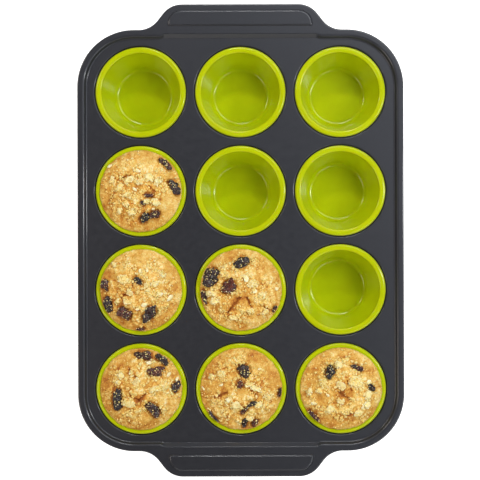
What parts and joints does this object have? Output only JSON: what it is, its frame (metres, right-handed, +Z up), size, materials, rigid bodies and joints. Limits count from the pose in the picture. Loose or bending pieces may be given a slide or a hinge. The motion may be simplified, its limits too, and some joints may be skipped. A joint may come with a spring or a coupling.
{
  "type": "muffin tin",
  "caption": "Rectangular steel muffin tin with end handles, lift-out silicone cup liners and a batch of raisin muffins in some of the cups.",
  "frame": {"origin": "under the middle of the tin, on the plane that the steel wells stand on", "axes": "+Z up out of the cups; +Y along the four rows, towards the handle beside row 1; +X across the three columns, from column 1 to column 3"},
  "size_m": [0.271, 0.3924, 0.0481],
  "materials": {
    "nonstick_steel": "satin dark grey non-stick coating",
    "wire_steel": "plain drawn wire",
    "silicone": "smooth glossy lime silicone",
    "muffin_crumb": "rough golden baked crumb",
    "raisin": "dark wrinkled dried fruit"
  },
  "bodies": {
    "tin": {"tray": "nonstick_steel", "rim_wire": "wire_steel", "well_r1_c1": "nonstick_steel", "well_r1_c2": "nonstick_steel", "well_r1_c3": "nonstick_steel", "well_r2_c1": "nonstick_steel", "well_r2_c2": "nonstick_steel", "well_r2_c3": "nonstick_steel", "well_r3_c1": "nonstick_steel", "well_r3_c2": "nonstick_steel", "well_r3_c3": "nonstick_steel", "well_r4_c1": "nonstick_steel", "well_r4_c2": "nonstick_steel", "well_r4_c3": "nonstick_steel"},
    "liner_r1_c1": {"liner_r1_c1": "silicone"},
    "liner_r1_c2": {"liner_r1_c2": "silicone"},
    "liner_r1_c3": {"liner_r1_c3": "silicone"},
    "liner_r2_c1": {"liner_r2_c1": "silicone"},
    "liner_r2_c2": {"liner_r2_c2": "silicone"},
    "liner_r2_c3": {"liner_r2_c3": "silicone"},
    "liner_r3_c1": {"liner_r3_c1": "silicone"},
    "liner_r3_c2": {"liner_r3_c2": "silicone"},
    "liner_r3_c3": {"liner_r3_c3": "silicone"},
    "liner_r4_c1": {"liner_r4_c1": "silicone"},
    "liner_r4_c2": {"liner_r4_c2": "silicone"},
    "liner_r4_c3": {"liner_r4_c3": "silicone"},
    "muffin_r2_c1": {"muffin_r2_c1": "muffin_crumb", "raisins_r2_c1": "raisin"},
    "muffin_r3_c1": {"muffin_r3_c1": "muffin_crumb", "raisins_r3_c1": "raisin"},
    "muffin_r3_c2": {"muffin_r3_c2": "muffin_crumb", "raisins_r3_c2": "raisin"},
    "muffin_r4_c1": {"muffin_r4_c1": "muffin_crumb", "raisins_r4_c1": "raisin"},
    "muffin_r4_c2": {"muffin_r4_c2": "muffin_crumb", "raisins_r4_c2": "raisin"},
    "muffin_r4_c3": {"muffin_r4_c3": "muffin_crumb", "raisins_r4_c3": "raisin"}
  },
  "joints": [
    {"name": "lift_liner_r1_c1", "type": "slide", "parent": "tin", "child": "liner_r1_c1", "axis": [0, 0, 1], "range_m": [0, 0.04]},
    {"name": "lift_liner_r1_c2", "type": "slide", "parent": "tin", "child": "liner_r1_c2", "axis": [0, 0, 1], "range_m": [0, 0.04]},
    {"name": "lift_liner_r1_c3", "type": "slide", "parent": "tin", "child": "liner_r1_c3", "axis": [0, 0, 1], "range_m": [0, 0.04]},
    {"name": "lift_liner_r2_c1", "type": "slide", "parent": "tin", "child": "liner_r2_c1", "axis": [0, 0, 1], "range_m": [0, 0.04]},
    {"name": "lift_liner_r2_c2", "type": "slide", "parent": "tin", "child": "liner_r2_c2", "axis": [0, 0, 1], "range_m": [0, 0.04]},
    {"name": "lift_liner_r2_c3", "type": "slide", "parent": "tin", "child": "liner_r2_c3", "axis": [0, 0, 1], "range_m": [0, 0.04]},
    {"name": "lift_liner_r3_c1", "type": "slide", "parent": "tin", "child": "liner_r3_c1", "axis": [0, 0, 1], "range_m": [0, 0.04]},
    {"name": "lift_liner_r3_c2", "type": "slide", "parent": "tin", "child": "liner_r3_c2", "axis": [0, 0, 1], "range_m": [0, 0.04]},
    {"name": "lift_liner_r3_c3", "type": "slide", "parent": "tin", "child": "liner_r3_c3", "axis": [0, 0, 1], "range_m": [0, 0.04]},
    {"name": "lift_liner_r4_c1", "type": "slide", "parent": "tin", "child": "liner_r4_c1", "axis": [0, 0, 1], "range_m": [0, 0.04]},
    {"name": "lift_liner_r4_c2", "type": "slide", "parent": "tin", "child": "liner_r4_c2", "axis": [0, 0, 1], "range_m": [0, 0.04]},
    {"name": "lift_liner_r4_c3", "type": "slide", "parent": "tin", "child": "liner_r4_c3", "axis": [0, 0, 1], "range_m": [0, 0.04]},
    {"name": "lift_muffin_r2_c1", "type": "slide", "parent": "liner_r2_c1", "child": "muffin_r2_c1", "axis": [0, 0, 1], "range_m": [0, 0.04]},
    {"name": "lift_muffin_r3_c1", "type": "slide", "parent": "liner_r3_c1", "child": "muffin_r3_c1", "axis": [0, 0, 1], "range_m": [0, 0.04]},
    {"name": "lift_muffin_r3_c2", "type": "slide", "parent": "liner_r3_c2", "child": "muffin_r3_c2", "axis": [0, 0, 1], "range_m": [0, 0.04]},
    {"name": "lift_muffin_r4_c1", "type": "slide", "parent": "liner_r4_c1", "child": "muffin_r4_c1", "axis": [0, 0, 1], "range_m": [0, 0.04]},
    {"name": "lift_muffin_r4_c2", "type": "slide", "parent": "liner_r4_c2", "child": "muffin_r4_c2", "axis": [0, 0, 1], "range_m": [0, 0.04]},
    {"name": "lift_muffin_r4_c3", "type": "slide", "parent": "liner_r4_c3", "child": "muffin_r4_c3", "axis": [0, 0, 1], "range_m": [0, 0.04]}
  ]
}
